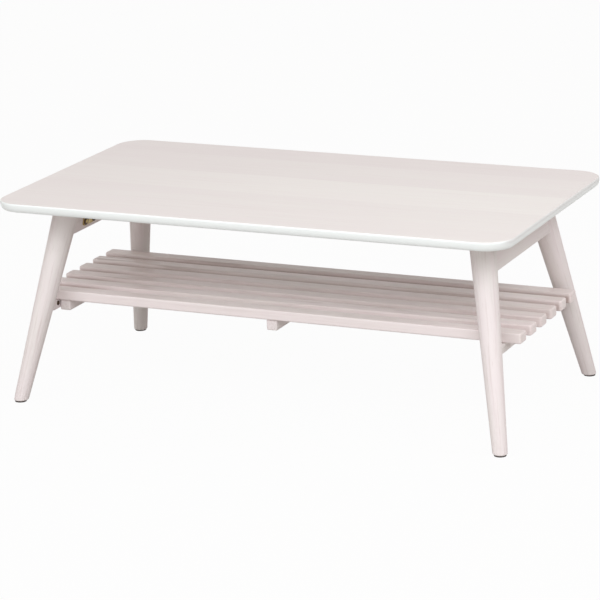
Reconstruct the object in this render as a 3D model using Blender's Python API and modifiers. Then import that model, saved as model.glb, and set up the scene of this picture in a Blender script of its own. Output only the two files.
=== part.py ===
"""Folding low table with a slatted shelf, at real size in metres, +Z up.

The origin is on the floor below the middle of the table top, and X runs along the long side.
Each end has a leg frame of two splayed legs and an apron, which folds inward on two brackets
under the top. The shelf is one slatted unit that rests on dowels in the legs.
"""
import math

import bpy
import bmesh
from mathutils import Matrix, Vector

# Table top
TABLE_HEIGHT = 0.350
TOP_LENGTH = 0.900
TOP_DEPTH = 0.500
TOP_THICKNESS = 0.0155
TOP_CORNER_RADIUS = 0.046
TOP_ARRIS_RADIUS = 0.003
TOP_RIM_UNDERCUT = 0.0065
TOP_CORNER_SEGMENTS = 16
TOP_RIM_SEGMENTS = 6

# Legs, measured at the underside of the top and at the floor
LEG_END_INSET = 0.083
LEG_SIDE_INSET = 0.121
LEG_SPLAY_END = math.radians(10.5)
LEG_SPLAY_SIDE = math.radians(15.6)
LEG_TOP_DIAMETER = 0.044
LEG_FOOT_DIAMETER = 0.024
LEG_RIM_RADIUS = 0.0022
LEG_SEGMENTS = 32

# Foot glides
GLIDE_THICKNESS = 0.002
GLIDE_INSET = 0.002

# Aprons
APRON_HEIGHT = 0.064
APRON_THICKNESS = 0.026
APRON_EDGE_RADIUS = 0.002

# Folding brackets
BRACKET_LEG_GAP = 0.012
BRACKET_SHEET = 0.002
PIVOT_DROP = 0.009
PIVOT_LEG_CLEARANCE = 0.002
PIN_DIAMETER = 0.005
PIN_PROUD = 0.0015
EAR_SPACING = 0.028
EAR_RADIUS = 0.0055
EAR_ROOT_WIDTH = 0.015
BASE_LENGTH = 0.048
BASE_WIDTH = 0.034
LEAF_WIDTH = 0.045
LEAF_HEIGHT = 0.054
LEAF_RISE = 0.004
SHEET_CORNER_RADIUS = 0.005
KNUCKLE_DIAMETER = 0.009
SCREW_HOLE_DIAMETER = 0.0044
SCREW_HOLE_EDGE = 0.008

# Shelf
SHELF_HEIGHT = 0.1745
SLAT_COUNT = 6
SLAT_WIDTH = 0.028
SLAT_THICKNESS = 0.0175
SLAT_CORNER_RADIUS = 0.0045
SLAT_EDGE_RADIUS = 0.003
SLAT_OVERHANG = 0.0265
SHELF_LEG_GAP = 0.019
RAIL_THICKNESS = 0.0125
RAIL_HEIGHT = 0.0145
RAIL_LEG_CLEARANCE = 0.002
RAIL_EDGE_RADIUS = 0.001
BATTEN_WIDTH = 0.019
BATTEN_HEIGHT = 0.018
BATTEN_EDGE_RADIUS = 0.002
BATTEN_SETBACK = 0.004
BATTEN_RAIL_GAP = 0.0015

# Dowels that carry the shelf
DOWEL_DIAMETER = 0.006
DOWEL_PROUD = 0.011
DOWEL_DEPTH = 0.012
DOWEL_SHOULDER = 0.002

# Clearances
TOUCH_GAP = 0.0003
PIN_FIT = 0.0003
KNUCKLE_SIDE_GAP = 0.0005
ROUND_SEGMENTS = 16

# Places worked out from the sizes above
UNDERSIDE = TABLE_HEIGHT - TOP_THICKNESS
LEG_TOP_X = TOP_LENGTH / 2 - LEG_END_INSET
LEG_TOP_Y = TOP_DEPTH / 2 - LEG_SIDE_INSET
FOOT_X = LEG_TOP_X + UNDERSIDE * math.tan(LEG_SPLAY_END)
FOOT_Y = LEG_TOP_Y + UNDERSIDE * math.tan(LEG_SPLAY_SIDE)
APRON_BOTTOM = UNDERSIDE - APRON_HEIGHT
PIVOT_Z = UNDERSIDE - PIVOT_DROP
PIVOT_REACH = LEG_TOP_DIAMETER / 2 + PIVOT_LEG_CLEARANCE
LEAF_REACH = PIVOT_REACH - APRON_THICKNESS / 2 - TOUCH_GAP - BRACKET_SHEET / 2
SLAT_BOTTOM = SHELF_HEIGHT - SLAT_THICKNESS
RAIL_TOP = SLAT_BOTTOM - TOUCH_GAP
RAIL_BOTTOM = RAIL_TOP - RAIL_HEIGHT
DOWEL_Z = RAIL_BOTTOM + DOWEL_DIAMETER / 2
NOTCH_TOP = DOWEL_Z + DOWEL_DIAMETER / 2 + TOUCH_GAP


def leg_axis(height):
    """Distance of a leg's axis from the table's middle planes at a height above the floor."""
    drop = UNDERSIDE - height
    return LEG_TOP_X + drop * math.tan(LEG_SPLAY_END), LEG_TOP_Y + drop * math.tan(LEG_SPLAY_SIDE)


def leg_radius(height):
    """Radius of the tapered leg at a height above the floor."""
    share = height / UNDERSIDE
    return (LEG_FOOT_DIAMETER + (LEG_TOP_DIAMETER - LEG_FOOT_DIAMETER) * share) / 2


def leg_inner_y(height):
    """Distance from the middle plane to the side of the leg that faces the opposite leg."""
    return leg_axis(height)[1] - leg_radius(height) / math.cos(LEG_SPLAY_SIDE)


PIVOT_X = leg_axis(PIVOT_Z)[0] - PIVOT_REACH / math.cos(LEG_SPLAY_END)
BRACKET_Y = leg_inner_y(PIVOT_Z + LEAF_RISE) - BRACKET_LEG_GAP - LEAF_WIDTH / 2
RAIL_X = leg_axis(RAIL_BOTTOM + RAIL_HEIGHT / 2)[0]
BATTEN_X = RAIL_X - RAIL_THICKNESS / 2 - BATTEN_RAIL_GAP - BATTEN_WIDTH / 2
SLAT_LENGTH = 2 * (RAIL_X + RAIL_THICKNESS / 2 + SLAT_OVERHANG)
SHELF_WIDTH = 2 * (leg_inner_y(SHELF_HEIGHT) - SHELF_LEG_GAP)
SLAT_PITCH = (SHELF_WIDTH - SLAT_WIDTH) / (SLAT_COUNT - 1)


def clear_scene():
    for scene_object in list(bpy.data.objects):
        bpy.data.objects.remove(scene_object, do_unlink=True)


def new_collection(name):
    collection = bpy.data.collections.new(name)
    bpy.context.scene.collection.children.link(collection)
    return collection


def new_material(name, colour, roughness, metallic=0.0):
    material = bpy.data.materials.new(name)
    material.use_nodes = True
    shader = material.node_tree.nodes["Principled BSDF"]
    shader.inputs["Base Color"].default_value = (*colour, 1.0)
    shader.inputs["Roughness"].default_value = roughness
    shader.inputs["Metallic"].default_value = metallic
    return material


def new_pivot(name, location):
    """An empty that carries the pieces of one moving body on its joint's axis."""
    pivot = bpy.data.objects.new(name, None)
    pivot.location = location
    pivot.empty_display_size = 0.03
    PARTS.objects.link(pivot)
    return pivot


def add_part(name, mesh, material, location, pivot=None):
    """A named piece at a place in the table's frame, carried by its body's pivot."""
    part = bpy.data.objects.new(name, mesh)
    mesh.name = name
    mesh.materials.clear()
    mesh.materials.append(material)
    part.location = Vector(location)
    if pivot:
        part.parent = pivot
        part.location = Vector(location) - pivot.location
    PARTS.objects.link(part)
    mesh.shade_smooth()
    mesh.set_sharp_from_angle(angle=math.radians(35))
    return part


def add_cutter(name, mesh, location):
    """A hidden shape that a Boolean modifier uses."""
    cutter = bpy.data.objects.new(name, mesh)
    cutter.location = location
    cutter.hide_render = True
    cutter.display_type = "WIRE"
    CUTTERS.objects.link(cutter)
    return cutter


def add_boolean(part, cutter, operation):
    modifier = part.modifiers.new(cutter.name, "BOOLEAN")
    modifier.operation = operation
    modifier.object = cutter
    modifier.solver = "EXACT"


def add_bevel(part, width, segments):
    """Round every edge that turns by more than half a right angle."""
    modifier = part.modifiers.new("Rounded edges", "BEVEL")
    modifier.width = width
    modifier.segments = segments
    modifier.limit_method = "ANGLE"
    modifier.angle_limit = math.radians(45)


def finish_mesh(bm, name):
    bmesh.ops.recalc_face_normals(bm, faces=bm.faces)
    mesh = bpy.data.meshes.new(name)
    bm.to_mesh(mesh)
    bm.free()
    return mesh


def slab_mesh(name, length, width, thickness, corner_radius=0.0, corner_segments=5):
    """A box about its own middle, with its upright corners rounded."""
    bm = bmesh.new()
    bmesh.ops.create_cube(bm, size=1.0, matrix=Matrix.Diagonal((length, width, thickness, 1.0)))
    if corner_radius:
        upright = [e for e in bm.edges if abs(e.verts[0].co.z - e.verts[1].co.z) > thickness / 2]
        bmesh.ops.bevel(bm, geom=upright, offset=corner_radius, segments=corner_segments,
                        profile=0.5, affect="EDGES")
    return finish_mesh(bm, name)


def cylinder_mesh(name, diameter, length, along_y=True):
    """A closed cylinder about its own middle, along Y or upright."""
    turn = Matrix.Rotation(math.pi / 2, 4, "X") if along_y else Matrix.Identity(4)
    bm = bmesh.new()
    bmesh.ops.create_cone(bm, cap_ends=True, segments=ROUND_SEGMENTS, radius1=diameter / 2,
                          radius2=diameter / 2, depth=length, matrix=turn)
    return finish_mesh(bm, name)


def circle_points(radius, centre=(0.0, 0.0), start=0.0, end=360.0):
    """Points along an arc in degrees; a full circle doesn't repeat its first point."""
    sweep = abs(end - start)
    count = max(3, round(ROUND_SEGMENTS * sweep / 360.0))
    last = count if sweep == 360.0 else count + 1
    angles = [math.radians(start + (end - start) * i / count) for i in range(last)]
    return [(centre[0] + radius * math.cos(a), centre[1] + radius * math.sin(a)) for a in angles]


def rounded_rectangle(left, right, bottom, top, radius):
    """Corner arcs of a rectangle, taken round in order."""
    points = circle_points(radius, (right - radius, top - radius), 0.0, 90.0)
    points += circle_points(radius, (left + radius, top - radius), 90.0, 180.0)
    points += circle_points(radius, (left + radius, bottom + radius), 180.0, 270.0)
    points += circle_points(radius, (right - radius, bottom + radius), 270.0, 360.0)
    return points


def plate_mesh(name, outlines, thickness, placement):
    """A flat plate from a filled 2D curve: the first outline is its rim, the others are holes."""
    curve = bpy.data.curves.new(name, "CURVE")
    curve.dimensions = "2D"
    curve.fill_mode = "BOTH"
    curve.extrude = thickness / 2
    for outline in outlines:
        spline = curve.splines.new("POLY")
        spline.points.add(len(outline) - 1)
        spline.use_cyclic_u = True
        for point, place in zip(spline.points, outline):
            point.co = (place[0], place[1], 0.0, 1.0)
    carrier = bpy.data.objects.new(name, curve)
    bpy.context.scene.collection.objects.link(carrier)
    evaluated = carrier.evaluated_get(bpy.context.evaluated_depsgraph_get())
    mesh = bpy.data.meshes.new_from_object(evaluated)
    bpy.data.objects.remove(carrier, do_unlink=True)
    bm = bmesh.new()
    bm.from_mesh(mesh)
    bmesh.ops.remove_doubles(bm, verts=bm.verts, dist=0.00001)
    bmesh.ops.transform(bm, matrix=placement, verts=bm.verts)
    bpy.data.meshes.remove(mesh)
    return finish_mesh(bm, name)


def for_end(mesh, end):
    """Brackets are drawn for the left end; the right end has their mirror image."""
    if end > 0:
        mesh.transform(Matrix.Scale(-1.0, 4, (1.0, 0.0, 0.0)))
        mesh.flip_normals()
    return mesh


def leg_mesh(name, end, side, growth=0.0, trimmed=True):
    """A straight turned taper on its splayed axis, about the axis's place at the underside."""
    foot = Vector((end * (FOOT_X - LEG_TOP_X), side * (FOOT_Y - LEG_TOP_Y), -UNDERSIDE))
    length = foot.length
    spare = LEG_TOP_DIAMETER
    slope = (LEG_TOP_DIAMETER - LEG_FOOT_DIAMETER) / 2 / length
    upward = -foot.normalized()
    turn = Vector((0.0, 0.0, 1.0)).rotation_difference(upward).to_matrix().to_4x4()
    bm = bmesh.new()
    bmesh.ops.create_cone(bm, cap_ends=True, segments=LEG_SEGMENTS,
                          radius1=LEG_FOOT_DIAMETER / 2 - slope * spare + growth,
                          radius2=LEG_TOP_DIAMETER / 2 + slope * spare + growth,
                          depth=length + 2 * spare,
                          matrix=Matrix.Translation(foot / 2) @ turn)
    if trimmed:
        level_cut(bm, -TOUCH_GAP, 1.0)
        level_cut(bm, GLIDE_THICKNESS + TOUCH_GAP - UNDERSIDE, -1.0)
    return finish_mesh(bm, name)


def level_cut(bm, height, keep_below):
    """Cut level with the floor and close the cut; 1 keeps what is below, -1 what is above."""
    everything = list(bm.verts) + list(bm.edges) + list(bm.faces)
    cut = bmesh.ops.bisect_plane(bm, geom=everything, plane_co=(0.0, 0.0, height),
                                 plane_no=(0.0, 0.0, keep_below), clear_outer=True)
    rim = [item for item in cut["geom_cut"] if isinstance(item, bmesh.types.BMEdge)]
    bmesh.ops.edgeloop_fill(bm, edges=rim)


def top_outline(inset):
    """Plan of the top with its rounded corners, drawn in by an inset."""
    corner_x = TOP_LENGTH / 2 - TOP_CORNER_RADIUS
    corner_y = TOP_DEPTH / 2 - TOP_CORNER_RADIUS
    points = []
    for quarter, (side_x, side_y) in enumerate(((1, 1), (-1, 1), (-1, -1), (1, -1))):
        for step in range(TOP_CORNER_SEGMENTS + 1):
            angle = math.radians(90 * (quarter + step / TOP_CORNER_SEGMENTS))
            points.append((side_x * corner_x + (TOP_CORNER_RADIUS - inset) * math.cos(angle),
                           side_y * corner_y + (TOP_CORNER_RADIUS - inset) * math.sin(angle)))
    return points


def rim_levels():
    """The rim from the underside up, as insets and depths: an undercut curve, then a small round."""
    curve_depth = TOP_THICKNESS - TOP_ARRIS_RADIUS
    levels = []
    for step in range(TOP_RIM_SEGMENTS, 0, -1):
        angle = math.radians(90 * step / TOP_RIM_SEGMENTS)
        levels.append((TOP_RIM_UNDERCUT * (1 - math.cos(angle)), TOP_ARRIS_RADIUS + curve_depth * math.sin(angle)))
    for step in range(4):
        angle = math.radians(90 * step / 3)
        levels.append((TOP_ARRIS_RADIUS * (1 - math.cos(angle)), TOP_ARRIS_RADIUS * (1 - math.sin(angle))))
    return levels


def add_table_top():
    """The board: its plan stacked along the rim's curve, from the underside to the face."""
    bm = bmesh.new()
    rings = []
    for inset, depth in rim_levels():
        rings.append([bm.verts.new((x, y, -depth)) for x, y in top_outline(inset)])
    for lower, upper in zip(rings, rings[1:]):
        for index in range(len(lower)):
            following = (index + 1) % len(lower)
            bm.faces.new((lower[index], lower[following], upper[following], upper[index]))
    bm.faces.new(rings[0])
    bm.faces.new(rings[-1])
    add_part("table_top", finish_mesh(bm, "table_top"), PALE_WOOD, (0.0, 0.0, TABLE_HEIGHT))


def add_leg(end, side, place, pivot):
    """One leg with its foot glide and the dowel that carries a corner of the shelf."""
    top_place = Vector((end * LEG_TOP_X, side * LEG_TOP_Y, UNDERSIDE))
    leg = add_part(f"{place}_leg", leg_mesh(f"{place}_leg", end, side), LEG_WOOD, top_place, pivot)
    add_bevel(leg, LEG_RIM_RADIUS, 2)

    dowel_x = end * leg_axis(DOWEL_Z)[0]
    face_y = leg_inner_y(DOWEL_Z)
    dowel_place = (dowel_x, side * (face_y + (DOWEL_DEPTH - DOWEL_PROUD) / 2), DOWEL_Z)
    dowel = cylinder_mesh(f"{place}_shelf_dowel", DOWEL_DIAMETER, DOWEL_DEPTH + DOWEL_PROUD)
    add_part(f"{place}_shelf_dowel", dowel, DOWEL_STEEL, dowel_place, pivot)
    socket = cylinder_mesh(f"{place}_dowel_socket", DOWEL_DIAMETER + 2 * TOUCH_GAP,
                           DOWEL_DEPTH + DOWEL_PROUD + 2 * TOUCH_GAP)
    add_boolean(leg, add_cutter(f"{place}_dowel_socket", socket, dowel_place), "DIFFERENCE")

    glide_diameter = LEG_FOOT_DIAMETER - 2 * GLIDE_INSET
    glide = cylinder_mesh(f"{place}_foot_glide", glide_diameter, GLIDE_THICKNESS, along_y=False)
    add_part(f"{place}_foot_glide", glide, GLIDE_FELT,
             (end * FOOT_X, side * FOOT_Y, GLIDE_THICKNESS / 2), pivot)


def add_apron(end, place, pivot):
    """A rail that leans with the legs, with its ends coped to fit round them."""
    middle_x, middle_y = leg_axis(UNDERSIDE - APRON_HEIGHT / 2)
    height = APRON_HEIGHT - TOUCH_GAP
    bm = bmesh.new()
    bmesh.ops.create_cube(bm, size=1.0, matrix=Matrix.Diagonal((APRON_THICKNESS / math.cos(LEG_SPLAY_END),
                                                                2 * middle_y, height, 1.0)))
    lean = Matrix.Identity(4)
    lean[0][2] = -end * math.tan(LEG_SPLAY_END)
    bmesh.ops.transform(bm, matrix=lean, verts=bm.verts)
    mesh = finish_mesh(bm, f"{place}_apron")
    centre = (end * middle_x, 0.0, APRON_BOTTOM + height / 2)
    apron = add_part(f"{place}_apron", mesh, LEG_WOOD, centre, pivot)
    add_bevel(apron, APRON_EDGE_RADIUS, 2)
    for side, row in ((-1, "front"), (1, "rear")):
        cope = leg_mesh(f"{place}_{row}_cope", end, side, growth=TOUCH_GAP, trimmed=False)
        cope_place = (end * LEG_TOP_X, side * LEG_TOP_Y, UNDERSIDE)
        add_boolean(apron, add_cutter(f"{place}_{row}_cope", cope, cope_place), "DIFFERENCE")


def bracket_base_meshes(name):
    """The base plate with its screw holes, and the outline of an ear that hangs from it."""
    plate_level = PIVOT_DROP - TOUCH_GAP - BRACKET_SHEET / 2
    rear = -EAR_ROOT_WIDTH / 2
    front = rear + BASE_LENGTH
    rim = rounded_rectangle(rear, front, -BASE_WIDTH / 2, BASE_WIDTH / 2, SHEET_CORNER_RADIUS)
    hole_y = BASE_WIDTH / 2 - SCREW_HOLE_EDGE
    hole_x = front - SCREW_HOLE_EDGE
    centres = [(hole_x, hole_y), (hole_x, -hole_y), (front / 2 + EAR_RADIUS / 2, 0.0)]
    holes = [circle_points(SCREW_HOLE_DIAMETER / 2, centre) for centre in centres]
    plate = plate_mesh(name, [rim] + holes, BRACKET_SHEET, Matrix.Translation((0.0, 0.0, plate_level)))

    tongue = circle_points(EAR_RADIUS, start=-180.0, end=0.0)
    tongue += [(EAR_ROOT_WIDTH / 2, plate_level), (-EAR_ROOT_WIDTH / 2, plate_level)]
    bore = circle_points(PIN_DIAMETER / 2 + PIN_FIT)
    ears = []
    for side in (-1, 1):
        stand = Matrix.Translation((0.0, side * EAR_SPACING / 2, 0.0)) @ Matrix.Rotation(math.pi / 2, 4, "X")
        ears.append(plate_mesh(f"{name}_ear", [tongue, bore], BRACKET_SHEET, stand))
    return plate, ears


def bracket_leaf_meshes(name):
    """The leaf that lies on the apron, and the rolled knuckle that joins it to the pin."""
    lean = Matrix.Rotation(LEG_SPLAY_END, 4, "Y")
    upright = Matrix.Rotation(math.pi / 2, 4, "Z") @ Matrix.Rotation(math.pi / 2, 4, "X")
    against_apron = lean @ Matrix.Translation((-LEAF_REACH, 0.0, 0.0)) @ upright
    bottom = LEAF_RISE - LEAF_HEIGHT
    rim = rounded_rectangle(-LEAF_WIDTH / 2, LEAF_WIDTH / 2, bottom, LEAF_RISE, SHEET_CORNER_RADIUS)
    hole_y = LEAF_WIDTH / 2 - SCREW_HOLE_EDGE
    rows = (bottom + SCREW_HOLE_EDGE, bottom + LEAF_HEIGHT / 2 - SCREW_HOLE_EDGE / 2)
    holes = [circle_points(SCREW_HOLE_DIAMETER / 2, (side * hole_y, row)) for side in (-1, 1) for row in rows]
    leaf = plate_mesh(name, [rim] + holes, BRACKET_SHEET, against_apron)

    radius = KNUCKLE_DIAMETER / 2
    half_sheet = BRACKET_SHEET / 2
    meet = 180.0 - math.degrees(math.asin(half_sheet / radius))
    roll = circle_points(radius, start=-meet, end=meet)
    roll += [(-LEAF_REACH, half_sheet), (-LEAF_REACH, -half_sheet)]
    bore = circle_points(PIN_DIAMETER / 2 + PIN_FIT)
    width = EAR_SPACING - BRACKET_SHEET - 2 * KNUCKLE_SIDE_GAP
    across = lean @ Matrix.Rotation(math.pi / 2, 4, "X")
    knuckle = plate_mesh(f"{name}_knuckle", [roll, bore], width, across)
    return leaf, knuckle


def add_bracket(end, side, place, pivot):
    """A folding bracket: base and pin under the top, leaf on the apron's inner face."""
    pin_place = (end * PIVOT_X, side * BRACKET_Y, PIVOT_Z)
    plate, ears = bracket_base_meshes(f"{place}_bracket_base")
    base = add_part(f"{place}_bracket_base", for_end(plate, end), GOLD_PLATE, pin_place)
    for ear in ears:
        add_boolean(base, add_cutter(ear.name, for_end(ear, end), pin_place), "UNION")

    leaf_plate, knuckle = bracket_leaf_meshes(f"{place}_bracket_leaf")
    leaf = add_part(f"{place}_bracket_leaf", for_end(leaf_plate, end), GOLD_PLATE, pin_place, pivot)
    add_boolean(leaf, add_cutter(knuckle.name, for_end(knuckle, end), pin_place), "UNION")

    pin_length = EAR_SPACING + BRACKET_SHEET + 2 * PIN_PROUD
    pin = cylinder_mesh(f"{place}_bracket_pin", PIN_DIAMETER, pin_length)
    add_part(f"{place}_bracket_pin", pin, PIN_STEEL, pin_place)


def add_rail(end, place, pivot):
    """End rail of the shelf: slanted to the legs, with a notch over the dowel at each end."""
    centre_z = RAIL_BOTTOM + RAIL_HEIGHT / 2
    bm = bmesh.new()
    bmesh.ops.create_cube(bm, size=1.0, matrix=Matrix.Diagonal((RAIL_THICKNESS, 1.0, RAIL_HEIGHT, 1.0)))
    for vertex in bm.verts:
        reach = leg_inner_y(centre_z + vertex.co.z) - RAIL_LEG_CLEARANCE
        vertex.co.y = math.copysign(reach, vertex.co.y)
    mesh = finish_mesh(bm, f"{place}_shelf_rail")
    rail = add_part(f"{place}_shelf_rail", mesh, SLAT_WOOD, (end * RAIL_X, 0.0, centre_z), pivot)
    add_bevel(rail, RAIL_EDGE_RADIUS, 2)

    shoulder = leg_inner_y(DOWEL_Z) - DOWEL_PROUD - DOWEL_SHOULDER
    notch_length = 2 * (DOWEL_PROUD + DOWEL_SHOULDER)
    notch_height = 2 * (NOTCH_TOP - RAIL_BOTTOM)
    for side, row in ((-1, "front"), (1, "rear")):
        notch = slab_mesh(f"{place}_{row}_notch", 2 * RAIL_THICKNESS, notch_length, notch_height)
        notch_place = (end * RAIL_X, side * (shoulder + notch_length / 2), RAIL_BOTTOM)
        add_boolean(rail, add_cutter(f"{place}_{row}_notch", notch, notch_place), "DIFFERENCE")


def add_shelf(pivot):
    """Slats along the table, tied by three battens and carried by an end rail at each end."""
    for index in range(SLAT_COUNT):
        name = f"shelf_slat_{index + 1}"
        mesh = slab_mesh(name, SLAT_LENGTH, SLAT_WIDTH, SLAT_THICKNESS, SLAT_CORNER_RADIUS)
        place_y = -SHELF_WIDTH / 2 + SLAT_WIDTH / 2 + index * SLAT_PITCH
        slat = add_part(name, mesh, SLAT_WOOD, (0.0, place_y, SHELF_HEIGHT - SLAT_THICKNESS / 2), pivot)
        add_bevel(slat, SLAT_EDGE_RADIUS, 3)

    batten_length = SHELF_WIDTH - 2 * BATTEN_SETBACK
    batten_z = SLAT_BOTTOM - TOUCH_GAP - BATTEN_HEIGHT / 2
    for place, place_x in (("left", -BATTEN_X), ("middle", 0.0), ("right", BATTEN_X)):
        mesh = slab_mesh(f"{place}_shelf_batten", BATTEN_WIDTH, batten_length, BATTEN_HEIGHT)
        batten = add_part(f"{place}_shelf_batten", mesh, SLAT_WOOD, (place_x, 0.0, batten_z), pivot)
        add_bevel(batten, BATTEN_EDGE_RADIUS, 2)

    for end, place in ((-1, "left"), (1, "right")):
        add_rail(end, place, pivot)


clear_scene()
PARTS = new_collection("folding_low_table")
CUTTERS = new_collection("cutters")
PALE_WOOD = new_material("Whitewashed top", (0.80, 0.74, 0.71), 0.42)
LEG_WOOD = new_material("Whitewashed legs", (0.76, 0.69, 0.66), 0.50)
SLAT_WOOD = new_material("Whitewashed slats", (0.72, 0.64, 0.61), 0.52)
DOWEL_STEEL = new_material("Dowel steel", (0.12, 0.08, 0.06), 0.40, 1.0)
GOLD_PLATE = new_material("Gold-coloured plating", (0.80, 0.62, 0.25), 0.32, 1.0)
PIN_STEEL = new_material("Pin steel", (0.45, 0.40, 0.30), 0.35, 1.0)
GLIDE_FELT = new_material("Foot glide", (0.06, 0.05, 0.05), 0.85)

add_table_top()
for table_end, end_name in ((-1, "left"), (1, "right")):
    fold_pivot = new_pivot(f"{end_name}_fold_axis", (table_end * PIVOT_X, 0.0, PIVOT_Z))
    add_apron(table_end, end_name, fold_pivot)
    for table_side, row_name in ((-1, "front"), (1, "rear")):
        corner = f"{end_name}_{row_name}"
        add_leg(table_end, table_side, corner, fold_pivot)
        add_bracket(table_end, table_side, corner, fold_pivot)
add_shelf(new_pivot("shelf_slide_axis", (0.0, 0.0, SHELF_HEIGHT)))
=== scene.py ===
# %% [markdown]
# # A folding low table in whitewashed wood
# The table has a thin top with rounded corners, two pairs of round splayed legs that fold under the
# top on gold brackets, and a slatted shelf that rests on dowels between the legs.
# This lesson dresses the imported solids: it remakes the pieces whose curves the eye follows, adds
# screws, washers and springs, and gives every piece a finish built from nodes.

# %% Load the solids
import math

import bmesh
import bpy
from mathutils import Matrix, Vector


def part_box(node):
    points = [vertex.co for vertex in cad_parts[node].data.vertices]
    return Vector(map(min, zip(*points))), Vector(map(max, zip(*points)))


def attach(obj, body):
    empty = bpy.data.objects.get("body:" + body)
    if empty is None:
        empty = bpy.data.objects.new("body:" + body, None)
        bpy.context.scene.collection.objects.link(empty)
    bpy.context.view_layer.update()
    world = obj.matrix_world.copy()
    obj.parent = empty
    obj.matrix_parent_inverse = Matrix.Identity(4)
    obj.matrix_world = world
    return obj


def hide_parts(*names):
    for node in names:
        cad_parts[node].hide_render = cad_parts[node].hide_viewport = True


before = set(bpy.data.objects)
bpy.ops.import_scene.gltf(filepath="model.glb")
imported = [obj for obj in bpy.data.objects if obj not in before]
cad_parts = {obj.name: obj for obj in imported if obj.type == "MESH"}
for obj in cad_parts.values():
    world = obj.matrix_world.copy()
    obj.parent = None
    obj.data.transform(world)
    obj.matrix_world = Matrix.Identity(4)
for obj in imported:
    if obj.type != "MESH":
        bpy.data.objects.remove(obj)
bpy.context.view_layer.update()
print("solids loaded:", len(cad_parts))

# %% [markdown]
# ## The sizes that the dressing shares with the solids
# The legs lean two ways, so most places follow from a leg's axis. Writing the few lengths here once,
# in metres, keeps the remade pieces exactly where the solids are.

# %% Sizes in metres
TOP_HEIGHT = 0.350
TOP_HALF_LENGTH = 0.450
UNDERSIDE = 0.3345
LEG_TOP = Vector((0.367, 0.129, UNDERSIDE))
END_SPLAY = math.radians(10.5)
SIDE_SPLAY = math.radians(15.6)
LEG_TOP_RADIUS = 0.022
LEG_FOOT_RADIUS = 0.012
TOUCH_GAP = 0.0003
CORNERS = [(end, side) for end in (-1, 1) for side in (-1, 1)]


def corner_name(end, side):
    return f"{'left' if end < 0 else 'right'}_{'front' if side < 0 else 'rear'}"


def leg_foot(end, side):
    """The point on the floor that a leg's axis runs to."""
    return Vector((end * (LEG_TOP.x + UNDERSIDE * math.tan(END_SPLAY)),
                   side * (LEG_TOP.y + UNDERSIDE * math.tan(SIDE_SPLAY)), 0.0))


def leg_head(end, side):
    """The point at the underside of the top that a leg's axis starts from."""
    return Vector((end * LEG_TOP.x, side * LEG_TOP.y, UNDERSIDE))


print("front left foot at", [round(value, 4) for value in leg_foot(-1, -1)])

# %% [markdown]
# ## Helpers for node finishes
# A finish is a Principled shader fed by textures on Object coordinates. Small helpers keep the node
# code readable: one starts a finish, one adds a node and wires its inputs in one call, and the others
# each stand for a node or two that every finish needs.


# %% Finish helpers
def new_finish(name):
    """A material with only a Principled shader, and that shader."""
    material = bpy.data.materials.new(name)
    material.use_nodes = True
    material.node_tree.nodes.clear()
    shader = material.node_tree.nodes.new("ShaderNodeBsdfPrincipled")
    output = material.node_tree.nodes.new("ShaderNodeOutputMaterial")
    material.node_tree.links.new(shader.outputs["BSDF"], output.inputs["Surface"])
    return material, shader


def add_node(tree, kind, inputs=None, **settings):
    """Adds a node; an input given as a socket is linked, anything else is set as a value."""
    node = tree.nodes.new(kind)
    for setting, value in settings.items():
        setattr(node, setting, value)
    for socket, value in (inputs or {}).items():
        if isinstance(value, bpy.types.NodeSocket):
            tree.links.new(value, node.inputs[socket])
        else:
            node.inputs[socket].default_value = value
    return node


def srgb(red, green, blue):
    """A colour as the eye reads it on a screen, 0 to 255, turned into the linear light Blender uses."""
    def linear(channel):
        share = channel / 255
        return share / 12.92 if share <= 0.04045 else ((share + 0.055) / 1.055) ** 2.4
    return linear(red), linear(green), linear(blue), 1.0


def mix_colour(tree, factor, first, second):
    """Blends two colours; returns the result's socket."""
    node = add_node(tree, "ShaderNodeMix", data_type="RGBA")
    for index, value in ((0, factor), (6, first), (7, second)):
        if isinstance(value, bpy.types.NodeSocket):
            tree.links.new(value, node.inputs[index])
        else:
            node.inputs[index].default_value = value
    return node.outputs[2]


def ranged(tree, value, low, high, to_low=0.0, to_high=1.0):
    """A smooth step of a value between two marks."""
    node = add_node(tree, "ShaderNodeMapRange", {"Value": value, "From Min": low, "From Max": high,
                                                 "To Min": to_low, "To Max": to_high},
                    interpolation_type="SMOOTHSTEP")
    return node.outputs["Result"]


def calculate(tree, operation, first, second=0.0):
    """One sum on numbers."""
    return add_node(tree, "ShaderNodeMath", {0: first, 1: second}, operation=operation).outputs[0]


def product(tree, first, *others):
    """Several numbers multiplied together."""
    for other in others:
        first = calculate(tree, "MULTIPLY", first, other)
    return first


def object_place(tree):
    """Object coordinates, as a vector and as X, Y and Z."""
    place = add_node(tree, "ShaderNodeTexCoord").outputs["Object"]
    parts = add_node(tree, "ShaderNodeSeparateXYZ", {"Vector": place}).outputs
    return place, parts["X"], parts["Y"], parts["Z"]


# %% [markdown]
# ## Whitewashed wood
# The wood is limed: a thin white wash with a pink cast lies over a fine straight grain, so the grain
# shows as faint long streaks with short pores. Stretching noise along one axis gives grain that runs
# the length of the piece. The same recipe serves top, legs and shelf, with the grain turned to suit.

# %% Whitewash recipe
PATCHES = (7.0, 4.0, 3.0)
STREAKS = (55.0, 5.0, 6.0)
PORES = (16.0, 42.0, 3.0)
PINK_WASH = srgb(236, 225, 225)
GREIGE_WASH = srgb(233, 226, 223)
GRAIN_BROWN = srgb(188, 166, 161)
LEG_GRAIN_STRENGTH = 0.30
LEG_ROUGHNESS = 0.62


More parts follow.
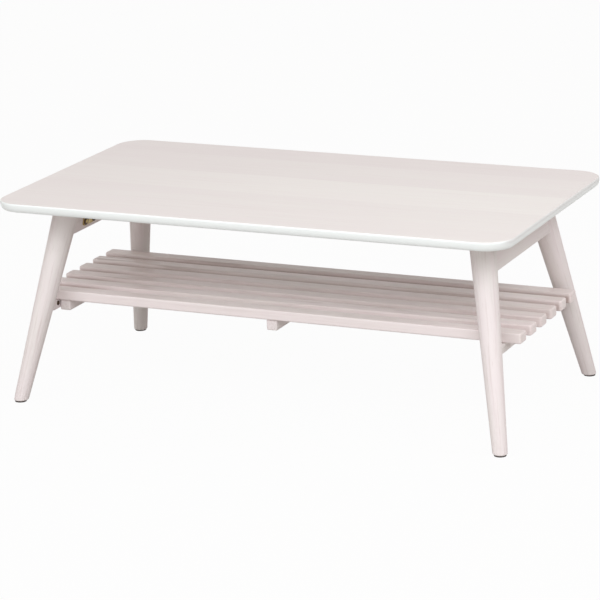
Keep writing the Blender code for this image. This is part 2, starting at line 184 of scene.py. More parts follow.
def grain_layers(tree, place):
    """Soft patches, long streaks and short pores along X, each from a stretch, a scale and a detail."""
    layers = []
    for stretch, scale, detail in (PATCHES, STREAKS, PORES):
        stretched = add_node(tree, "ShaderNodeMapping", {"Vector": place,
                                                         "Scale": (1.0, stretch, stretch)})
        noise = add_node(tree, "ShaderNodeTexNoise", {"Vector": stretched.outputs["Vector"], "Scale": scale,
                                                      "Detail": detail, "Roughness": 0.6})
        layers.append(noise.outputs["Fac"])
    return layers


def whitewash_colour(tree, place, pink, greige, grain, strength):
    """Colour of the wash with its grain, and the grain alone for gloss and relief."""
    patches, streaks, pores = grain_layers(tree, place)
    wash = mix_colour(tree, ranged(tree, patches, 0.34, 0.66), pink, greige)
    streak_share = ranged(tree, streaks, 0.50, 0.74, 0.0, strength)
    pore_share = ranged(tree, pores, 0.60, 0.76, 0.0, strength * 0.8)
    streaked = mix_colour(tree, streak_share, wash, grain)
    relief = calculate(tree, "ADD", streak_share, pore_share)
    return mix_colour(tree, pore_share, streaked, grain), relief


def satin_surface(tree, shader, colour, relief, roughness):
    """Joins colour, gloss and a slight relief to the shader; the grain is rougher than the wash."""
    tree.links.new(colour, shader.inputs["Base Color"])
    tree.links.new(ranged(tree, relief, 0.0, 0.6, roughness, roughness + 0.2), shader.inputs["Roughness"])
    raised = add_node(tree, "ShaderNodeBump", {"Height": relief, "Strength": 0.25, "Distance": 0.00025},
                      invert=True)
    tree.links.new(raised.outputs["Normal"], shader.inputs["Normal"])


def whitewashed_wood(name, grain_along):
    """Finish for one piece or set of pieces whose grain runs along a direction."""
    material, shader = new_finish(name)
    tree = material.node_tree
    turn = Vector(grain_along).rotation_difference(Vector((1.0, 0.0, 0.0))).to_euler()
    place = add_node(tree, "ShaderNodeTexCoord").outputs["Object"]
    turned = add_node(tree, "ShaderNodeMapping", {"Vector": place, "Rotation": turn}).outputs["Vector"]
    colour, relief = whitewash_colour(tree, turned, PINK_WASH, GREIGE_WASH, GRAIN_BROWN, LEG_GRAIN_STRENGTH)
    satin_surface(tree, shader, colour, relief, LEG_ROUGHNESS)
    return material


LEG_FINISH = {}
for end, side in CORNERS:
    direction = leg_head(end, side) - leg_foot(end, side)
    LEG_FINISH[end, side] = whitewashed_wood(f"{corner_name(end, side)}_leg_whitewash", direction)
CROSS_FINISH = whitewashed_wood("crosswise_whitewash", (0.0, 1.0, 0.0))
print("leg finishes:", len(LEG_FINISH))

# %% [markdown]
# ## The slats' finish
# Each slat is a separate stick, so neighbours differ a little in tone and their grain doesn't carry
# on across the gaps. A white noise on the slat's number gives each its own tone and shifts its grain.
# A second, coarser noise leaves long brown smudges, strongest at the left ends. The sides between the
# slats, towards the back and at the left ends, are darkened with painted shade, and the front slat's
# front face is made paler with painted light.

# %% Slat sizes
SLAT_COUNT = 6
slat_low, slat_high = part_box("shelf_slat_1")
last_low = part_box(f"shelf_slat_{SLAT_COUNT}")[0]
SLAT_WIDTH = slat_high[1] - slat_low[1]
SLAT_PITCH = (last_low[1] - slat_low[1]) / (SLAT_COUNT - 1)
print("slat pitch in mm:", round(SLAT_PITCH * 1000, 2))


# %% Sticks that differ
def stick_number(tree, across, first_edge, pitch):
    """Which stick a point is on, as a whole number, and a random number for that stick."""
    steps = calculate(tree, "DIVIDE", calculate(tree, "SUBTRACT", across, first_edge), pitch)
    number = calculate(tree, "FLOOR", steps)
    chance = add_node(tree, "ShaderNodeTexWhiteNoise", {"W": number}, noise_dimensions="1D")
    return number, chance.outputs["Value"]


def shifted_along(tree, place, chance, reach):
    """The same coordinates, slid along X by a random part of the reach."""
    slide = calculate(tree, "MULTIPLY", chance, reach)
    offset = add_node(tree, "ShaderNodeCombineXYZ", {"X": slide}).outputs["Vector"]
    return add_node(tree, "ShaderNodeVectorMath", {0: place, 1: offset}, operation="ADD").outputs["Vector"]


# %% Slat finish
SLAT_PINK = srgb(240, 226, 225)
SLAT_GREIGE = srgb(236, 225, 222)
SLAT_TONE = srgb(212, 194, 191)
SMUDGE_BROWN = srgb(176, 154, 149)
# painted shade for the sides of the slats in the gaps between them
GAP_SHADE_BROWN = srgb(166, 138, 130)
# painted light: the front slat's front face is made paler, as if lit more from the front
PAINTED_FRONT_LIGHT = srgb(243, 233, 233)
SLAT_TONE_SHARE = 0.20
SLAT_GRAIN_STRENGTH = 0.34
SLAT_ROUGHNESS = 0.42
SLAT_GRAIN_SHIFT = 4.0
SMUDGE_SHIFT = 9.0
SMUDGE_STRETCH = 14.0


def smudge_share(tree, place, along, number, chance):
    """How strongly the long brown smudges show: most at the left ends, least on the front slat."""
    shifted = shifted_along(tree, place, chance, SMUDGE_SHIFT)
    drawn_out = add_node(tree, "ShaderNodeMapping", {"Vector": shifted,
                                                     "Scale": (1.0, SMUDGE_STRETCH, SMUDGE_STRETCH)})
    noise = add_node(tree, "ShaderNodeTexNoise", {"Vector": drawn_out.outputs["Vector"], "Scale": 6.0,
                                                  "Detail": 2.0})
    smudge_mask = ranged(tree, noise.outputs["Fac"], 0.58, 0.74)
    strength = ranged(tree, along, -0.24, -0.38, 0.30, 0.60)
    behind_front = ranged(tree, number, 0.0, 1.0, 0.25, 1.0)
    return product(tree, smudge_mask, strength, behind_front)


def gap_shade_share(tree, along, height, number):
    """Painted shade on the slats' sides in the gaps: below their top edges, at the back and at the left
    ends.
    """
    depth = ranged(tree, height, slat_high[2] - 0.003, slat_high[2] - 0.008, 0.0, 0.60)
    from_middle = calculate(tree, "ABSOLUTE", along)
    inside = ranged(tree, from_middle, slat_high[0] - 0.001, slat_high[0] - 0.006)
    at_back = ranged(tree, number, 2.0, 5.0)
    at_left = ranged(tree, along, -0.30, -0.38)
    behind_front = ranged(tree, number, 0.0, 1.0)
    return product(tree, depth, inside, calculate(tree, "MAXIMUM", at_back, at_left), behind_front)


def slat_finish():
    material, shader = new_finish("slat_whitewash")
    tree = material.node_tree
    place, along, across, height = object_place(tree)
    gap = SLAT_PITCH - SLAT_WIDTH
    number, chance = stick_number(tree, across, slat_low[1] - gap / 2, SLAT_PITCH)
    washed, relief = whitewash_colour(tree, shifted_along(tree, place, chance, SLAT_GRAIN_SHIFT),
                                      SLAT_PINK, SLAT_GREIGE, GRAIN_BROWN, SLAT_GRAIN_STRENGTH)
    toned = mix_colour(tree, product(tree, chance, SLAT_TONE_SHARE), washed, SLAT_TONE)
    smudged = mix_colour(tree, smudge_share(tree, place, along, number, chance), toned, SMUDGE_BROWN)
    # painted shade in the gaps between the slats, towards the back and at the left ends
    gap_shaded = mix_colour(tree, gap_shade_share(tree, along, height, number), smudged, GAP_SHADE_BROWN)
    # painted light on the front slat's front face, which is made paler
    front_light_share = ranged(tree, across, slat_low[1] + 0.0016, slat_low[1] + 0.0004, 0.0, 0.50)
    colour = mix_colour(tree, front_light_share, gap_shaded, PAINTED_FRONT_LIGHT)
    satin_surface(tree, shader, colour, relief, SLAT_ROUGHNESS)
    return material


SLAT_FINISH = slat_finish()
print("slat finish:", SLAT_FINISH.name)

# %% [markdown]
# ## The top's finish
# The top face is veneered in boards that run along the table, some pinker and some greyer, under a
# satin wash. The rounded rim is painted a cooler, cleaner white, and painted shade greys its upper
# half at the two short ends. Object coordinates tell face and rim apart: the face is exactly at the
# table's height, and the rim falls away below it.

# %% Top finish
BOARD_WIDTH = 0.117
FIRST_JOINT = -0.296
BOARD_PALENESS = (0.45, 0.55, 1.0, 0.4, 0.0)
BOARD_PINK = srgb(231, 222, 220)
BOARD_GREIGE = srgb(233, 227, 223)
BOARD_GRAIN = srgb(203, 188, 181)
DARK_BOARD = srgb(226, 215, 214)
PALE_BOARD = srgb(237, 231, 227)
RIM_WHITE = srgb(242, 245, 244)
# painted shade on the rim's upper half at the two short ends
RIM_END_SHADE_GREY = srgb(225, 224, 223)
BOARD_TONE_SHARE = 0.6
TOP_GRAIN_STRENGTH = 0.26
TOP_GRAIN_SHIFT = 5.0
TOP_ROUGHNESS = 0.34


def board_paleness(tree, number):
    """How pale a board is: one share for each board, from the front of the table to the back."""
    place = calculate(tree, "DIVIDE", number, len(BOARD_PALENESS))
    ramp = add_node(tree, "ShaderNodeValToRGB", {"Fac": place})
    ramp.color_ramp.interpolation = "CONSTANT"
    stops = ramp.color_ramp.elements
    while len(stops) < len(BOARD_PALENESS):
        stops.new(0.5)
    for index, share in enumerate(BOARD_PALENESS):
        stops[index].position = max(0.0, (index - 0.5) / len(BOARD_PALENESS))
        stops[index].color = (share, share, share, 1.0)
    return ramp.outputs["Color"]


def rim_colour(tree, along, height):
    """White paint, with painted shade on the upper half of the rim at the two short ends."""
    from_middle = calculate(tree, "ABSOLUTE", along)
    towards_end = ranged(tree, from_middle, TOP_HALF_LENGTH - 0.014, TOP_HALF_LENGTH - 0.002)
    upper = ranged(tree, height, TOP_HEIGHT - 0.009, TOP_HEIGHT - 0.003)
    return mix_colour(tree, product(tree, towards_end, upper), RIM_WHITE, RIM_END_SHADE_GREY)


def top_finish():
    material, shader = new_finish("top_whitewash")
    tree = material.node_tree
    place, along, across, height = object_place(tree)
    number, chance = stick_number(tree, across, FIRST_JOINT, BOARD_WIDTH)
    boards, relief = whitewash_colour(tree, shifted_along(tree, place, chance, TOP_GRAIN_SHIFT),
                                      BOARD_PINK, BOARD_GREIGE, BOARD_GRAIN, TOP_GRAIN_STRENGTH)
    paler_to_right = ranged(tree, along, -0.55, 0.25, 0.35, 1.0)
    paleness = product(tree, board_paleness(tree, number), paler_to_right)
    tone = mix_colour(tree, paleness, DARK_BOARD, PALE_BOARD)
    face = mix_colour(tree, BOARD_TONE_SHARE, boards, tone)
    rim_share = ranged(tree, height, TOP_HEIGHT - 0.0001, TOP_HEIGHT - 0.0009)
    colour = mix_colour(tree, rim_share, face, rim_colour(tree, along, height))
    quiet = product(tree, relief, calculate(tree, "SUBTRACT", 1.0, rim_share))
    satin_surface(tree, shader, colour, quiet, TOP_ROUGHNESS)
    return material


TOP_FINISH = top_finish()
print("top finish:", TOP_FINISH.name, "with", len(BOARD_PALENESS), "boards")

# %% [markdown]
# ## Gold plating, dark steel and foot glides
# The brackets are pressed steel with a yellow plating: metallic, with a cloudy gloss and dull spots.
# Springs, washers, pins and the rails' screws are darker steel, and the glides under the feet are dark
# moulded nylon.

# %% Metal and glide finishes
BRIGHT_GOLD = srgb(204, 182, 128)
DULL_GOLD = srgb(178, 156, 108)
BRIGHT_STEEL = srgb(96, 78, 66)
DULL_STEEL = srgb(66, 52, 46)
DARK_NYLON = srgb(58, 50, 48)
PALE_NYLON = srgb(84, 75, 71)


def metal_finish(name, bright, dull, smooth, rough, scale):
    """Bright metal with dull clouds, between two roughnesses, and a fine relief."""
    material, shader = new_finish(name)
    tree = material.node_tree
    place = add_node(tree, "ShaderNodeTexCoord").outputs["Object"]
    clouds = add_node(tree, "ShaderNodeTexNoise", {"Vector": place, "Scale": scale, "Detail": 4.0})
    fine = add_node(tree, "ShaderNodeTexNoise", {"Vector": place, "Scale": scale * 14, "Detail": 2.0})
    cloud_share = ranged(tree, clouds.outputs["Fac"], 0.35, 0.68)
    tree.links.new(mix_colour(tree, cloud_share, bright, dull), shader.inputs["Base Color"])
    tree.links.new(ranged(tree, clouds.outputs["Fac"], 0.3, 0.7, smooth, rough), shader.inputs["Roughness"])
    raised = add_node(tree, "ShaderNodeBump", {"Height": fine.outputs["Fac"], "Strength": 0.12,
                                               "Distance": 0.0001})
    tree.links.new(raised.outputs["Normal"], shader.inputs["Normal"])
    shader.inputs["Metallic"].default_value = 1.0
    return material


def glide_finish():
    material, shader = new_finish("glide_nylon")
    tree = material.node_tree
    place = add_node(tree, "ShaderNodeTexCoord").outputs["Object"]
    speckle = add_node(tree, "ShaderNodeTexNoise", {"Vector": place, "Scale": 900.0, "Detail": 3.0})
    share = ranged(tree, speckle.outputs["Fac"], 0.35, 0.7)
    tree.links.new(mix_colour(tree, share, DARK_NYLON, PALE_NYLON), shader.inputs["Base Color"])
    tree.links.new(ranged(tree, speckle.outputs["Fac"], 0.3, 0.7, 0.55, 0.8), shader.inputs["Roughness"])
    return material


GOLD_FINISH = metal_finish("gold_plating", BRIGHT_GOLD, DULL_GOLD, 0.28, 0.46, 120.0)
DARK_STEEL = metal_finish("dark_steel", BRIGHT_STEEL, DULL_STEEL, 0.3, 0.5, 160.0)
GLIDE_FINISH = glide_finish()
print("metal and glide finishes:", GOLD_FINISH.name, DARK_STEEL.name, GLIDE_FINISH.name)

# %% [markdown]
# ## Helpers for remade pieces
# A remade piece is an object at the origin with its place in its mesh. Smooth shading with weighted
# normals keeps the flat faces flat while the rounded edges catch a soft line of light.


# %% Mesh helpers
def new_piece(name, bm, finish):
    """Turns a bmesh into an object with one finish, smooth shaded."""
    bmesh.ops.recalc_face_normals(bm, faces=bm.faces)
    mesh = bpy.data.meshes.new(name)
    bm.to_mesh(mesh)
    bm.free()
    mesh.materials.append(finish)
    for face in mesh.polygons:
        face.use_smooth = True
    piece = bpy.data.objects.new(name, mesh)
    bpy.context.scene.collection.objects.link(piece)
    return piece


def weigh_normals(piece):
    """Large faces decide the normals of the edges they meet."""
    modifier = piece.modifiers.new("weighted_normals", "WEIGHTED_NORMAL")
    modifier.weight = 100
    modifier.keep_sharp = True


def ring_faces(bm, lower, upper):
    """A band of faces between two rings of points."""
    count = len(lower)
    for index in range(count):
        following = (index + 1) % count
        bm.faces.new((lower[index], lower[following], upper[following], upper[index]))


def join_rings(bm, rings):
    """Closes a stack of rings into a skin, with a face at each end."""
    for lower, upper in zip(rings, rings[1:]):
        ring_faces(bm, lower, upper)
    bm.faces.new(rings[0])
    bm.faces.new(rings[-1])


# %% [markdown]
# ## The table top
# A thin board with rounded corners and a rim that curves in under the face, so that the board looks
# thinner than it is. A bevelled box can't do that. Stacking the plan outline, drawn in along the
# rim's curve, gives the same undercut all the way round.

# %% Table top
CORNER_RADIUS = 0.046
ARRIS_RADIUS = 0.003
RIM_UNDERCUT = 0.0065
CORNER_STEPS = 24
RIM_STEPS = 12
ARRIS_STEPS = 6


def plan_outline(half_length, half_depth, radius):
    """Points round a rectangle with rounded corners."""
    points = []
    for quarter, (sign_x, sign_y) in enumerate(((1, 1), (-1, 1), (-1, -1), (1, -1))):
        for step in range(CORNER_STEPS + 1):
            angle = math.radians(90 * (quarter + step / CORNER_STEPS))
            points.append((sign_x * (half_length - radius) + radius * math.cos(angle),
                           sign_y * (half_depth - radius) + radius * math.sin(angle)))
    return points


def rim_levels(low, high):
    """The rim from the underside up, as insets and heights: the undercut curve, then a small round."""
    arris_low = high - ARRIS_RADIUS
    curve_height = arris_low - low
    levels = []
    for step in range(RIM_STEPS, 0, -1):
        angle = math.radians(90 * step / RIM_STEPS)
        levels.append((RIM_UNDERCUT * (1 - math.cos(angle)), arris_low - curve_height * math.sin(angle)))
    for step in range(ARRIS_STEPS + 1):
        angle = math.radians(90 * step / ARRIS_STEPS)
        levels.append((ARRIS_RADIUS * (1 - math.cos(angle)), high - ARRIS_RADIUS * (1 - math.sin(angle))))
    return levels


def table_top():
    low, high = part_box("table_top")
    bm = bmesh.new()
    rings = []
    for inset, height in rim_levels(low[2], high[2]):
        outline = plan_outline(high[0] - inset, high[1] - inset, CORNER_RADIUS - inset)
        rings.append([bm.verts.new((x, y, height)) for x, y in outline])
    join_rings(bm, rings)
    return new_piece("whitewashed_top", bm, TOP_FINISH)


top_piece = table_top()
weigh_normals(top_piece)
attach(top_piece, "top")
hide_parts("table_top")
print("top faces:", len(top_piece.data.polygons))

# %% [markdown]
# ## The legs
# Each leg is a straight turned taper on a leaning axis, cut level at the top and just above the
# floor. Lines down the taper's side, cut by level planes, give the right slanting ovals at both cuts.

# %% Legs
LEG_SIDES = 64
FOOT_CUT = 0.0023
FOOT_ROUND = 0.0025
FOOT_STEPS = 4
SHANK_STEPS = 24


def taper_point(head, foot, across, onward, angle, height):
    """Where one line down the leg's side crosses a level."""
    spoke = math.cos(angle) * across + math.sin(angle) * onward
    upper = head + LEG_TOP_RADIUS * spoke
    lower = foot + LEG_FOOT_RADIUS * spoke
    share = (height - lower.z) / (upper.z - lower.z)
    return lower.lerp(upper, share)


def leg_levels():
    """A leg's rings from the foot up, as heights and insets: the rounded foot, then the straight shank."""
    levels = []
    for step in range(FOOT_STEPS + 1):
        angle = math.radians(90 * step / FOOT_STEPS)
        levels.append((FOOT_CUT + FOOT_ROUND * (1 - math.cos(angle)), FOOT_ROUND * (1 - math.sin(angle))))
    shank_low = FOOT_CUT + FOOT_ROUND
    shank_length = UNDERSIDE - TOUCH_GAP - FOOT_CUT - FOOT_ROUND
    for step in range(1, SHANK_STEPS + 1):
        levels.append((shank_low + shank_length * step / SHANK_STEPS, 0.0))
    return levels


def leg(end, side):
    head = leg_head(end, side)
    foot = leg_foot(end, side)
    axis = (head - foot).normalized()
    across = axis.orthogonal().normalized()
    onward = axis.cross(across)
    bm = bmesh.new()
    rings = []
    for height, inset in leg_levels():
        centre = foot.lerp(head, height / UNDERSIDE)
        ring = []
        for index in range(LEG_SIDES):
            point = taper_point(head, foot, across, onward, 2 * math.pi * index / LEG_SIDES, height)
            outward = (point - centre).normalized()
            ring.append(bm.verts.new(point - inset * outward))
        rings.append(ring)
    join_rings(bm, rings)
    return new_piece(f"{corner_name(end, side)}_turned_leg", bm, LEG_FINISH[end, side])


for end, side in CORNERS:
    piece = leg(end, side)
    weigh_normals(piece)
    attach(piece, f"{'left' if end < 0 else 'right'}_leg_frame")
    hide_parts(f"{corner_name(end, side)}_leg")
print("legs made:", len(CORNERS))

# %% [markdown]
# ## Geometry Nodes helpers
# Slats, screws, washers and springs repeat, so each is drawn once and a node tree sets the copies. One
# helper makes an empty tree with named inputs, one turns copies to face as their points say, one ends
# a tree, and one runs a tree on an object and keeps a plain mesh.


# %% Node tree helpers
def new_tree(name, inputs):
    """An empty geometry tree with named inputs; returns it with its input and output nodes."""
    tree = bpy.data.node_groups.new(name, "GeometryNodeTree")
    tree.interface.new_socket("Geometry", in_out="INPUT", socket_type="NodeSocketGeometry")
    tree.interface.new_socket("Geometry", in_out="OUTPUT", socket_type="NodeSocketGeometry")
    for label, kind in inputs:
        tree.interface.new_socket(label, in_out="INPUT", socket_type=kind)
    return tree, tree.nodes.new("NodeGroupInput"), tree.nodes.new("NodeGroupOutput")


def copies_facing(tree, source, shape):
    """Copies of a shape on the source's points, each turned to the way that its point faces."""
    facing = add_node(tree, "GeometryNodeInputNamedAttribute", {"Name": "facing"}, data_type="FLOAT_VECTOR")
    turn = add_node(tree, "FunctionNodeAlignRotationToVector", {"Vector": facing.outputs["Attribute"]},
                    axis="Z")
    copies = add_node(tree, "GeometryNodeInstanceOnPoints", {"Points": source.outputs["Geometry"],
                                                             "Instance": shape,
                                                             "Rotation": turn.outputs["Rotation"]})
    return copies.outputs["Instances"]


def end_tree(tree, copies, finish, output):
    """Makes the copies real, gives them their finish and sends them out."""
    real = add_node(tree, "GeometryNodeRealizeInstances", {"Geometry": copies})
    dressed = add_node(tree, "GeometryNodeSetMaterial", {"Geometry": real.outputs["Geometry"],
                                                         "Material": finish})
    tree.links.new(dressed.outputs["Geometry"], output.inputs["Geometry"])


def run_tree(piece, tree, values):
    """Runs a tree on an object with the given inputs, and leaves the result as a plain mesh."""
    modifier = piece.modifiers.new(tree.name, "NODES")
    modifier.node_group = tree
    for socket in tree.interface.items_tree:
        if socket.in_out == "INPUT" and socket.name in values:
            modifier[socket.identifier] = values[socket.name]
    evaluated = piece.evaluated_get(bpy.context.evaluated_depsgraph_get())
    made = bpy.data.meshes.new_from_object(evaluated)
    made.name = piece.name
    piece.modifiers.remove(modifier)
    piece.data = made
    for face in made.polygons:
        face.use_smooth = True
    return piece


# %% [markdown]
# ## The slats
# Six equal sticks with softened ends and edges lie side by side. One stick is drawn with bevels,
# first at its four upright corners and then along every edge, and a line of points carries the copies.

# %% Slats
SLAT_END_RADIUS = 0.0045
SLAT_EDGE_RADIUS = 0.003
SLAT_END_STEPS = 10
SLAT_EDGE_STEPS = 6
LEVEL_WITHIN = 0.0001


def one_slat():
    """The first slat, in its place."""
    bm = bmesh.new()
    size = Vector(slat_high) - Vector(slat_low)
    centre = (Vector(slat_high) + Vector(slat_low)) / 2
    bmesh.ops.create_cube(bm, size=1.0, matrix=Matrix.Translation(centre) @ Matrix.Diagonal((*size, 1.0)))
    upright = [edge for edge in bm.edges if abs(edge.verts[0].co.z - edge.verts[1].co.z) > size.z / 2]
    bmesh.ops.bevel(bm, geom=upright, offset=SLAT_END_RADIUS, segments=SLAT_END_STEPS,
                    profile=0.5, affect="EDGES")
    level = [edge for edge in bm.edges if abs(edge.verts[0].co.z - edge.verts[1].co.z) < LEVEL_WITHIN]
    bmesh.ops.bevel(bm, geom=level, offset=SLAT_EDGE_RADIUS, segments=SLAT_EDGE_STEPS,
                    profile=0.5, affect="EDGES")
    return new_piece("shelf_slats", bm, SLAT_FINISH)


def slat_tree():
    tree, source, output = new_tree("row_of_slats", (("Count", "NodeSocketInt"),
                                                     ("Pitch", "NodeSocketFloat"),
                                                     ("Finish", "NodeSocketMaterial")))
    step = add_node(tree, "ShaderNodeCombineXYZ", {"Y": source.outputs["Pitch"]})
    line = add_node(tree, "GeometryNodeMeshLine", {"Count": source.outputs["Count"],
                                                   "Offset": step.outputs["Vector"]})
    copies = add_node(tree, "GeometryNodeInstanceOnPoints", {"Points": line.outputs["Mesh"],
                                                             "Instance": source.outputs["Geometry"]})
    end_tree(tree, copies.outputs["Instances"], source.outputs["Finish"], output)
    return tree


slats = run_tree(one_slat(), slat_tree(), {"Count": SLAT_COUNT, "Pitch": SLAT_PITCH, "Finish": SLAT_FINISH})
weigh_normals(slats)
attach(slats, "shelf")
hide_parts(*[f"shelf_slat_{number}" for number in range(1, SLAT_COUNT + 1)])
print("slat faces:", len(slats.data.polygons))

# %% [markdown]
# ## Screws
# Dome-headed screws with a cross recess hold the brackets to the top and to the aprons. One head is a
# flattened ball with a cross cut out of it. Points carry the places, and a vector on each point says
# which way that screw faces. A base plate's screws are given by their reach from the pin towards the
# middle of the table and their offset along the pin.

# %% Screw places
BRACKET_SHEET = 0.002
BASE_SCREWS = ((0.0325, 0.009), (0.0325, -0.009), (0.0230, 0.0))
LEAF_FACE = 0.0087
LEAF_SCREW_OFFSETS = (-0.0145, 0.0145)
LEAF_SCREW_DROPS = (-0.042, -0.027)
WASHER_THICKNESS = 0.0012


def bracket_middle(end, side):
    """The middle of a bracket's pin."""
    low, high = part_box(f"{corner_name(end, side)}_bracket_pin")
    return (Vector(low) + Vector(high)) / 2


def base_screws(end, side):
    """Screws that go up through a base plate, as places and the way they face."""
    middle = bracket_middle(end, side)
    level = UNDERSIDE - TOUCH_GAP - BRACKET_SHEET
    return [(Vector((middle.x - end * reach, middle.y + across, level)), Vector((0.0, 0.0, -1.0)))
            for reach, across in BASE_SCREWS]


def leaf_screws(end, side):
    """Screws through a leaf into the apron, facing inward square to the leaning leaf."""
    middle = bracket_middle(end, side)
    lean = Matrix.Rotation(-end * END_SPLAY, 3, "Y")
    facing = lean @ Vector((-end, 0.0, 0.0))
    return [(middle + lean @ Vector((end * LEAF_FACE, across, drop)), facing)
            for across in LEAF_SCREW_OFFSETS for drop in LEAF_SCREW_DROPS]


def raised(places, height):
    """The same places, each moved off its surface by a height."""
    return [(place + facing * height, facing) for place, facing in places]


# %% Screw copies
RECESS_LENGTH = 1.15
RECESS_WIDTH = 0.24


def screw_tree():
    """Screw heads on points; the recess is a share of the head."""
    tree, source, output = new_tree("cross_head_screws", (("Head radius", "NodeSocketFloat"),
                                                          ("Head height", "NodeSocketFloat"),
                                                          ("Finish", "NodeSocketMaterial")))
    ball = add_node(tree, "GeometryNodeMeshUVSphere", {"Segments": 24, "Rings": 14, "Radius": 1.0})
    shape = add_node(tree, "ShaderNodeCombineXYZ", {"X": source.outputs["Head radius"],
                                                    "Y": source.outputs["Head radius"],
                                                    "Z": source.outputs["Head height"]})
    head = add_node(tree, "GeometryNodeTransform", {"Geometry": ball.outputs["Mesh"],
                                                    "Scale": shape.outputs["Vector"]})
    slots = []
    for size in ((RECESS_LENGTH, RECESS_WIDTH, 1.0), (RECESS_WIDTH, RECESS_LENGTH, 1.0)):
        cut = add_node(tree, "ShaderNodeVectorMath", {0: shape.outputs["Vector"], 1: size},
                       operation="MULTIPLY")
        bar = add_node(tree, "GeometryNodeMeshCube", {"Size": cut.outputs["Vector"]})
        lift = add_node(tree, "ShaderNodeCombineXYZ", {"Z": source.outputs["Head height"]})
        slots.append(add_node(tree, "GeometryNodeTransform", {"Geometry": bar.outputs["Mesh"],
                                                              "Translation": lift.outputs["Vector"]}))
    recessed = add_node(tree, "GeometryNodeMeshBoolean", {"Mesh 1": head.outputs["Geometry"]},
                        operation="DIFFERENCE", solver="EXACT")
    for slot in slots:
        tree.links.new(slot.outputs["Geometry"], recessed.inputs["Mesh 2"])
    copies = copies_facing(tree, source, recessed.outputs["Mesh"])
    end_tree(tree, copies, source.outputs["Finish"], output)
    return tree


def facing_points(name, places):
    """An object of loose points, each with the way it faces."""
    mesh = bpy.data.meshes.new(name)
    mesh.from_pydata([place for place, facing in places], [], [])
    store = mesh.attributes.new("facing", "FLOAT_VECTOR", "POINT")
    for entry, (place, facing) in zip(store.data, places):
        entry.vector = facing
    piece = bpy.data.objects.new(name, mesh)
    bpy.context.scene.collection.objects.link(piece)
    return piece


SCREWS = screw_tree()
SCREW_SIZE = {"Head radius": 0.0036, "Head height": 0.0017, "Finish": GOLD_FINISH}
screw_sets = {"top": [], "left_leg_frame": [], "right_leg_frame": []}
for end, side in CORNERS:
    screw_sets["top"] += base_screws(end, side)
    screw_sets["left_leg_frame" if end < 0 else "right_leg_frame"] += leaf_screws(end, side)
for body, places in screw_sets.items():
    seats = places if body == "top" else raised(places, WASHER_THICKNESS)
    screws = run_tree(facing_points(f"{body}_bracket_screws", seats), SCREWS, SCREW_SIZE)
    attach(screws, body)
    print(body, "screws:", len(places))

# %% [markdown]
# ## Washers
# Between each apron screw and its leaf lies a dark flat washer, wider than the head, which shows as a
# dark ring on the gold. It is a disc with a hole cut through it, copied onto the screws' places.

# %% Washers
WASHER_SIZE = {"Outer radius": 0.0070, "Inner radius": 0.0026, "Thickness": WASHER_THICKNESS,
               "Finish": DARK_STEEL}


def washer_tree():
    tree, source, output = new_tree("flat_washers", (("Outer radius", "NodeSocketFloat"),
                                                     ("Inner radius", "NodeSocketFloat"),
                                                     ("Thickness", "NodeSocketFloat"),
                                                     ("Finish", "NodeSocketMaterial")))
    disc = add_node(tree, "GeometryNodeMeshCylinder", {"Vertices": 40,
                                                       "Radius": source.outputs["Outer radius"],
                                                       "Depth": source.outputs["Thickness"]})
    deep = product(tree, source.outputs["Thickness"], 2.0)
    core = add_node(tree, "GeometryNodeMeshCylinder", {"Vertices": 24,
                                                       "Radius": source.outputs["Inner radius"],
                                                       "Depth": deep})
    ring = add_node(tree, "GeometryNodeMeshBoolean", {"Mesh 1": disc.outputs["Mesh"],
                                                      "Mesh 2": core.outputs["Mesh"]},
                    operation="DIFFERENCE", solver="EXACT")
    half = product(tree, source.outputs["Thickness"], 0.5)
    lift = add_node(tree, "ShaderNodeCombineXYZ", {"Z": half})
    seated = add_node(tree, "GeometryNodeTransform", {"Geometry": ring.outputs["Mesh"],
                                                      "Translation": lift.outputs["Vector"]})
    copies = copies_facing(tree, source, seated.outputs["Geometry"])
    end_tree(tree, copies, source.outputs["Finish"], output)
    return tree


WASHERS = washer_tree()
for body in ("left_leg_frame", "right_leg_frame"):
    washers = run_tree(facing_points(f"{body}_screw_washers", screw_sets[body]), WASHERS, WASHER_SIZE)
    for face in washers.data.polygons:
        face.use_smooth = False
    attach(washers, body)
    print(body, "washers:", len(screw_sets[body]))

# %% [markdown]
# ## Rail screws
# A dark round-headed screw sits in the inner face of each end rail, close to the leg. Its wide dark
# head is partly painted shade: it also fills the shaded gap under the front slat. The screw tree
# serves again, with a larger head and the dark steel.

# %% Rail screws
# the head is made wide so that its dark steel also fills the shaded gap under the front slat, as painted
# shade
RAIL_SCREW_AND_SHADE_SIZE = {"Head radius": 0.0042, "Head height": 0.0022, "Finish": DARK_STEEL}
RAIL_SCREW_FROM_END = 0.0240
RAIL_SCREW_BELOW_TOP = 0.0047


def rail_screws(end_name, end):
    """One screw near each end of a rail, facing the middle of the table."""
    low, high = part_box(f"{end_name}_shelf_rail")
    inner = high[0] if end < 0 else low[0]
    level = high[2] - RAIL_SCREW_BELOW_TOP
    ends = (low[1] + RAIL_SCREW_FROM_END, high[1] - RAIL_SCREW_FROM_END)
    return [(Vector((inner, across, level)), Vector((-end, 0.0, 0.0))) for across in ends]


rail_places = rail_screws("left", -1) + rail_screws("right", 1)
rail_heads_and_shade = run_tree(facing_points("shelf_rail_screws_and_shade", rail_places), SCREWS, RAIL_SCREW_AND_SHADE_SIZE)
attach(rail_heads_and_shade, "shelf")
print("rail screws:", len(rail_places))

# %% [markdown]
# ## Springs
# Beside each bracket's ear a short coil of dark wire sits on the pin and holds the legs open. A
# spiral curve swept with a round wire makes it, and points on the pins carry the copies.

# %% Springs
SPRING_SIZE = {"Coil radius": 0.0042, "Wire radius": 0.0007, "Turns": 3.0, "Length": 0.0050,
               "Finish": DARK_STEEL}
SPRING_FROM_MIDDLE = 0.0160


